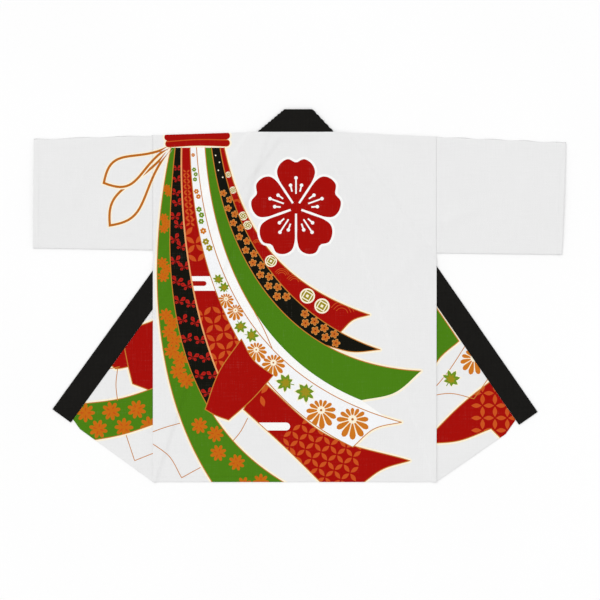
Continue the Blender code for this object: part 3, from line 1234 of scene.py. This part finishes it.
cutting = {
    "rimStep": 0.0040,             # places along the edge
    "fine": 0.0039,                # rows of places, where the cloth bends
    "rowShare": 0.866,
    "cell": 0.0065,
    "apart": 0.62,                 # no place nearer than this share of a row to a printed edge
    "inset": 0.0009,               # a second row of places inside the edge, which rounds it
    "insetStep": 0.0060,
    "insetApart": 0.0008,
    "attempts": 5,
}


def wronglyFilled(verts, triangles, origins, numbers):
    # the outlines whose triangles cover more or less than they enclose
    filled = dict.fromkeys(numbers, 0.0)
    for triangle, within in zip(triangles, origins):
        a, b, c = (verts[index] for index in triangle)
        area = abs((b - a).x * (c - a).y - (b - a).y * (c - a).x) / 2
        for number in within:
            if number:
                filled[number] += area
    return [number for number, shape in numbers.items()
            if not 0.8 < filled[number] / ringArea(shape.ring) < 1.25]


def cutSheet(corners, shapes, spacing):
    # triangles of a flat sheet, whose edges follow the print; spacing gives how close together
    # its places are
    ring = splitRing(corners, cutting["rimStep"])
    left, bottom, right, top = extent(ring)
    places, faces, numbers = list(ring), [list(range(len(ring)))], {}
    grid = Grid(cutting["cell"])
    for place in ring:
        grid.add(place)
    for shape in shapes:
        box = shape.box()
        if box[2] < left or box[0] > right or box[3] < bottom or box[1] > top:
            continue
        first = len(places)
        places += shape.ring
        numbers[len(faces)] = shape
        faces.append(list(range(first, len(places))))
        for place in shape.ring:
            grid.add(place)
    for place in sides(splitRing(corners, cutting["insetStep"]), cutting["inset"], closed=True)[0]:
        if not grid.near(place, cutting["insetApart"]):
            places.append(place)
            grid.add(place)
    fine = cutting["fine"]
    row, y = 0, bottom
    while y < top:
        x = left + (fine / 2 if row % 2 else 0.0)
        column = 0
        while x < right:
            place = Vector((x, y))
            step = spacing(place)
            if (row % step == 0 and (column + row // step % 2 * (step // 2)) % step == 0
                    and not grid.near(place, fine * cutting["apart"] * min(step, 2))
                    and insideRing(place, corners)):
                places.append(place)
            x += fine
            column += 1
        y += fine * cutting["rowShare"]
        row += 1
    for _ in range(cutting["attempts"]):
        verts, _, triangles, _, _, origins = delaunay_2d_cdt(places, [], faces, 0, 1e-6, True)
        wrong = wronglyFilled(verts, triangles, origins, numbers)
        if not wrong:
            break
        for number in wrong:       # such an outline starts elsewhere, and is filled again
            turned = len(faces[number]) // 3 + 1
            faces[number] = faces[number][turned:] + faces[number][:turned]
    order = {shape: number for number, shape in numbers.items()}
    kept, chosen = [], []
    for triangle, within in zip(triangles, origins):
        if 0 not in within:
            continue
        found = set(within)
        ink = "cloth"
        for number in sorted(found - {0}, reverse=True):
            shape = numbers[number]
            if shape.within is None or order.get(shape.within) in found:
                ink = shape.ink
                break
        kept.append(triangle)
        chosen.append(ink)
    used = sorted({index for triangle in kept for index in triangle})
    renumber = {old: new for new, old in enumerate(used)}
    kept = [tuple(renumber[index] for index in triangle) for triangle in kept]
    return [Vector(verts[index]) for index in used], kept, chosen


def areaNormals(places, faces):
    # the normal at each place, to which a sliver adds next to nothing
    normals = [Vector() for _ in places]
    for a, b, c in faces:
        normal = (places[b] - places[a]).cross(places[c] - places[a])
        for index in (a, b, c):
            normals[index] += normal
    sliver = 1e-8
    for face in faces:
        for index in face:
            if normals[index].length < sliver:
                normals[index] = sum((normals[other] for other in face), Vector())
    return [normal.normalized() for normal in normals]


def dye(mesh, domain, names, each):
    # an ink for each face's corners or each stitch's places
    layer = mesh.color_attributes.new("ink", "FLOAT_COLOR", domain)
    values = []
    for name in names:
        values += [*inkColours[name], 0.0 if name == "cloth" else 1.0] * each
    layer.data.foreach_set("color", values)


def declare(piece, node):
    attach(piece, "root")
    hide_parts(node)


def makeSheet(name, node, corners, shapes, spacing, lay, wall, lift, finish, span):
    # a closed shell of that wall round the cut as it lies, and the cut's area; lift raises its
    # upper face, and span is the cut's longest side in the map for finishes
    corners = corners if ringArea(corners) > 0 else corners[::-1]
    flat, triangles, chosen = cutSheet(corners, shapes, spacing)
    middles = [inFrame(lay(place)) for place in flat]
    count = len(flat)
    upper, lower = [], []
    for place, spot, normal in zip(flat, middles, areaNormals(middles, triangles)):
        edge = edgeDistance(place, corners)
        half = wall / 2 * (0.55 + 0.45 * math.sqrt(min(1.0, edge / cutting["inset"])))
        upper.append(spot + normal * (half + lift(place)))
        lower.append(spot - normal * half)
    mesh = bpy.data.meshes.new(name)
    faces = list(triangles) + [(c + count, b + count, a + count) for a, b, c in triangles]
    faceInks = chosen + chosen
    edges = {}
    for (a, b, c), ink in zip(triangles, chosen):
        for pair in ((a, b), (b, c), (c, a)):
            edges[pair] = ink
    rim = [(pair, ink) for pair, ink in edges.items() if (pair[1], pair[0]) not in edges]
    for (a, b), ink in rim:
        faces += [(b, a, a + count), (b, a + count, b + count)]
        faceInks += [ink, ink]
    mesh.from_pydata([tuple(place) for place in upper + lower], [], faces)
    dye(mesh, "CORNER", faceInks, 3)
    # the map for finishes is the flat cut itself, with a little of it laid on the rim
    uvs = mesh.uv_layers.new(name="OFBake")
    left, bottom, _, _ = extent(flat)
    scale, margin = 0.98 / span, 0.01
    inwards = {}
    for ends, _ in rim:
        run = (flat[ends[1]] - flat[ends[0]]).normalized()
        for index in ends:
            inwards[index] = inwards.get(index, Vector((0, 0))) + leftOf(run) * 0.00075
    rimStart = len(triangles) * 2
    spots = []
    for number, face in enumerate(faces):
        for index in face:
            place = flat[index % count]
            if number >= rimStart and index >= count:
                place = place + inwards[index - count]
            spots += [(place.x - left) * scale + margin, (place.y - bottom) * scale + margin]
    uvs.data.foreach_set("uv", spots)
    mesh.polygons.foreach_set("use_smooth", [True] * len(faces))
    mesh.normals_split_custom_set_from_vertices(areaNormals(upper + lower, faces))
    mesh.materials.append(finish)
    mesh.update()
    piece = intoScene(name, mesh)
    declare(piece, node)
    print(name, len(mesh.polygons), "faces")
    return piece, ringArea(corners)


# stitches
stitching = {
    "pitch": 0.0036,
    "length": 0.0026,
    "radius": 0.00022,
    "corners": 6,
    "profile": ((0.0, 0.0, -0.3), (0.12, 0.8, 0.1), (0.5, 1.0, 0.5), (0.88, 0.8, 0.1), (1.0, 0.0, -0.3)),
    "fromEdge": 0.0125,            # a row of stitches is this far from its hem
    "fromEnd": 0.0030,
    "proud": 0.00005,
}


def inkAt(place, shapes):
    # the ink on top at a place, found as cutSheet finds it
    for shape in shapes[::-1]:
        low, lowY, high, highY = shape.box()
        if low < place.x < high and lowY < place.y < highY and insideRing(place, shape.ring):
            if shape.within is None or insideRing(place, shape.within.ring):
                return shape.ink
    return "cloth"


def sewLine(row, top, shapes):
    # small rounded stitches along a line in the flat cut; top gives the cloth's upper face
    verts, faces, stitchInks = [], [], []
    corners, radius = stitching["corners"], stitching["radius"]
    length = sum((b - a).length for a, b in zip(row, row[1:]))
    count = max(1, int(length / stitching["pitch"]))
    for a, b in zip(evenly(row, count), evenly(row, count)[1:]):
        middle, run = (a + b) / 2, (b - a).normalized()
        stitchInks.append(inkAt(middle, shapes))
        start = top(middle - run * stitching["length"] / 2)
        end = top(middle + run * stitching["length"] / 2)
        along = (end - start).normalized()
        aside = along.cross(Vector((0, 0, 1))).normalized()
        up = aside.cross(along)
        first = len(verts)
        for share, girth, height in stitching["profile"]:
            centre = start.lerp(end, share) + up * radius * height
            if girth == 0.0:
                verts.append(centre)
                continue
            for corner in range(corners):
                turn = 2 * math.pi * corner / corners
                bulge = math.cos(turn) * aside * 1.3 + math.sin(turn) * up
                verts.append(centre + radius * girth * bulge)
        rings = [first + 1 + corners * ring for ring in range(3)]
        for corner in range(corners):
            after = (corner + 1) % corners
            faces.append((first, rings[0] + after, rings[0] + corner))
            for ring, above in zip(rings, rings[1:]):
                faces.append((ring + corner, ring + after, above + after, above + corner))
            faces.append((rings[2] + corners, rings[2] + corner, rings[2] + after))
    return verts, faces, stitchInks


def sewPiece(piece, row, lay, reach, thread, node, shapes=()):
    # stitches that go with a piece; reach is from the middle of its cloth to its upper face
    def top(place):
        spot, nearby = lay(place), 0.0006
        across = lay(place + Vector((nearby, 0))) - spot
        up = lay(place + Vector((0, nearby))) - spot
        return inFrame(spot + across.cross(up).normalized() * reach)

    verts, faces, stitchInks = sewLine(row, top, shapes)
    mesh = bpy.data.meshes.new(piece.name + "Stitches")
    mesh.from_pydata([tuple(vert) for vert in verts], [], faces)
    dye(mesh, "POINT", stitchInks, len(verts) // len(stitchInks))
    mesh.polygons.foreach_set("use_smooth", [True] * len(faces))
    mesh.materials.append(thread)
    stitches = intoScene(mesh.name, mesh)
    declare(stitches, node)
    return stitches


# the pieces of the coat
bodySpan, sleeveSpan, bandSpan = 0.822, 0.57, 1.78
overHem = cloth["wall"] / 2 + cloth["hemLift"] + stitching["proud"]


def raised(toHem, toSeam=None):
    # how much a turned-up hem and the seam of a sleeve raise the cloth at those distances
    rise = cloth["hemLift"] * ease(toHem - cloth["hemWidth"] + cloth["riseStart"], cloth["rise"])
    if toSeam is None:
        return rise
    rise = max(rise, cloth["armholeLift"] * ease(toSeam - cloth["armholeWidth"], cloth["rise"]))
    return rise - cloth["grooveDepth"] * ease(toSeam - cloth["grooveHalf"], cloth["grooveRun"])


def flush(place):
    # no hem shows on this face
    return 0.0


def makeBack(finish, thread):
    half, left, right = body["half"], coatSides["left"], coatSides["right"]
    outline = [
        Vector((-half, 0.0)), Vector((half, 0.0)), Vector((half, right.shoulder(half))),
        Vector((body["neckHalf"], body["length"])), Vector((-body["neckHalf"], body["length"])),
        Vector((-half, left.shoulder(half))),
    ]
    shapes = printOfBack()

    def lay(place):
        under = max(side.backGround(place) for side in coatSides.values())
        high = max(under, neckGround(place)) + cloth["wall"] / 2
        return Vector((*place, high + swell(place)))

    def lift(place):
        return raised(place.y, half - abs(place.x) if place.y > cloth["armholeFoot"] else None)

    def spacing(place):
        slope = any(side.nearSlope(place) for side in coatSides.values())
        if slope or place.y < 0.020 or abs(place.x) > half - 0.014:
            return 1
        return 2

    back, area = makeSheet(
        "backPanel", "back_body", outline, shapes, spacing, lay, cloth["wall"], lift,
        finish, bodySpan,
    )
    hemEnd, hemHeight = half - stitching["fromEnd"], stitching["fromEdge"]
    hem = splitLine((-hemEnd, hemHeight), (hemEnd, hemHeight), 0.01)
    stitches = sewPiece(back, hem, lay, overHem, thread, "back_body", shapes)
    2 * half


def makeFront(name, finish):
    side = coatSides[name]
    sign, half, node = side.sign, body["half"], "front_" + name
    seam = side.row["seam"] + cloth["gap"]
    run, rise = side.row["tuck"]
    outline = [
        Vector((sign * half, 0.0)), Vector((sign * (seam + run), 0.0)), Vector((sign * seam, rise)),
        Vector((sign * seam, side.shoulder(seam))), Vector((sign * half, side.shoulder(half))),
    ]
    fold = Fold(side.fold)

    def above(place):
        return side.ground(place) + cloth["wall"] / 2 + swell(place)

    def below(place):
        return cloth["wall"] / 2 + swell(place)

    def lay(place):
        return fold.lay(place, above, below)

    def spacing(place):
        if side.fold.distance(place) < -0.004:
            return 1 if side.nearSlope(place) else 3
        return 1 if abs(side.fold.distance(place)) < 0.006 else 2

    moved = {}                     # the print is on the part that is folded over
    for shape in printOfFronts():
        box = shape.box()
        if (box[0] + box[2]) * sign > 0:
            ring = [side.fold.mirror(place) for place in shape.ring]
            moved[shape] = Shape(ring, shape.ink, moved.get(shape.within))
    front, area = makeSheet(
        "front" + name.capitalize(), node, outline, list(moved.values()), spacing, lay, cloth["wall"],
        flush, finish, bodySpan,
    )
    half - seam


def makeSleeve(name, finish, thread):
    side = coatSides[name]
    sign, armhole, node = side.sign, body["half"] + cloth["gap"], "sleeve_" + name
    low = Vector((sign * armhole, side.row["underarm"]))
    top = Vector((sign * armhole, side.shoulder(armhole)))
    cuffLow = Vector((sign * side.row["cuffLow"][0], side.row["cuffLow"][1]))
    cuffTop = Vector((sign * side.row["cuffTop"][0], side.row["cuffTop"][1]))
    line = side.shoulderLine
    outline = [low, cuffLow, cuffTop, line.mirror(cuffLow), line.mirror(low), top]
    fold = Fold(line)
    step = cloth["wall"] + cloth["gap"]
    underarm = Line(low, leftOf(cuffLow - low))
    cuff = Line(cuffLow, leftOf(cuffTop - cuffLow))

    def meet(place):
        # the two cloths come together at the seam under the arm
        return (cloth["gap"] / 2 + 0.00002) * ease(abs(underarm.distance(place)), 0.006)

    def above(place):
        along = min(1.0, max(0.0, (abs(place.x) - armhole) / (side.row["cuffLow"][0] - armhole)))
        across = abs(line.distance(place)) / abs(line.distance(low))
        loft = cloth["sleeveLoft"] * along ** 0.7 * math.sin(math.pi * min(1.0, across)) ** 0.8
        return cloth["wall"] / 2 + step + loft + swell(place) - meet(place)

    def below(place):
        return cloth["wall"] / 2 + swell(place) + meet(place)

    def lay(place):
        return fold.lay(place, above, below)

    def lift(place):
        if line.distance(place) > 0:
            return 0.0
        return raised(abs(cuff.distance(place)), abs(place.x) - armhole)

    def spacing(place):
        near = abs(place.x) - armhole < 0.014 or abs(cuff.distance(place)) < 0.020
        return 1 if (near and line.distance(place) < 0) or abs(line.distance(place)) < 0.006 else 2

    sleeve, area = makeSheet(
        "sleeve" + name.capitalize(), node, outline, printOfSleeve() if name == "left" else [],
        spacing, lay, cloth["wall"], lift, finish, sleeveSpan,
    )
    inwards = -sign * stitching["fromEdge"]
    hem = splitLine(cuffLow + Vector((inwards, 0.004)), cuffTop + Vector((inwards, -0.004)), 0.01)
    stitches = sewPiece(sleeve, hem, lay, overHem, thread, node)
    widths = [abs(corner.x) - armhole for corner in (cuffLow, cuffTop, line.mirror(cuffLow))]
    girth = (line.mirror(cuffLow) - cuffLow).length
    max(widths) + 0.002


def makeBand(finish, thread):
    wall, gap, width = cloth["bandWall"], cloth["gap"], body["bandWidth"]
    rollWidth = math.pi * (wall + gap) / 2
    neckMiddle = wall + gap + wall / 2
    halves = {}
    folds = {}
    for name, side in coatSides.items():
        sign = side.sign
        crease = side.neckCrease
        turnOut, slant = side.row["neckTurn"]
        toCrease = (rollWidth / 2 + gap * crease.normal.y) / abs(crease.normal.x)
        low = Vector((sign * (turnOut - toCrease), body["length"] + gap))
        top = low + Vector((-sign * slant, 1.0)) * (width - gap)
        lowTurned, topTurned = (place + rollWidth * crease.normal for place in (low, top))
        innerFoot = side.band.point
        outerFoot = innerFoot + width * side.band.normal
        innerTop = innerFoot + side.bandAlong * ((body["length"] - innerFoot.y) / side.bandAlong.y)
        toTurn = (-rollWidth / 2 - crease.distance(outerFoot)) / side.bandAlong.dot(crease.normal)
        outerTop = outerFoot + toTurn * side.bandAlong
        leg = [crease.mirror(place) for place in (innerTop, innerFoot, outerFoot, outerTop)]
        halves[name] = [low, lowTurned] + leg[::-1] + [topTurned, top]
        fold = Fold(crease)
        fold.radius, fold.half = (wall + gap) / 2, rollWidth / 2
        folds[name] = fold
    outline = halves["right"] + halves["left"][::-1]

    def above(place):
        return neckMiddle + swell(place)

    def below(place):
        return wall / 2 + swell(place)

    def lay(place):
        fold = folds["right"] if place.x > 0 else folds["left"]
        return fold.lay(place, above, below)

    def spacing(place):
        fold = folds["right"] if place.x > 0 else folds["left"]
        return 1 if abs(fold.line.distance(place)) < 0.006 else 2

    band, area = makeSheet(
        "collarBand", "collar_band", outline, [], spacing, lay, wall, flush,
        finish, bandSpan,
    )
    band.data.attributes.remove(band.data.attributes["ink"])
    rowHalf, rowHeight = 0.080, body["length"] + 0.0045
    neckRow = splitLine((-rowHalf, rowHeight), (rowHalf, rowHeight), 0.01)
    reach = wall / 2 + stitching["proud"]
    stitches = sewPiece(band, neckRow, lay, reach, thread, "collar_band")
    area / width * 1.004
    area * 0.999


makeStage()
print("stage set")
cotton = printedCotton()
dyedThread = sewingThread("dyedThread")
blackThread = sewingThread("blackThread", linear(38, 36, 34))
makeBack(cotton, dyedThread)
print("back made")
for sideName in coatSides:
    makeFront(sideName, cotton)
    makeSleeve(sideName, cotton, dyedThread)
    print(sideName, "front and sleeve made")
makeBand(blackCotton(), blackThread)
print("band made")

bpy.context.view_layer.update()
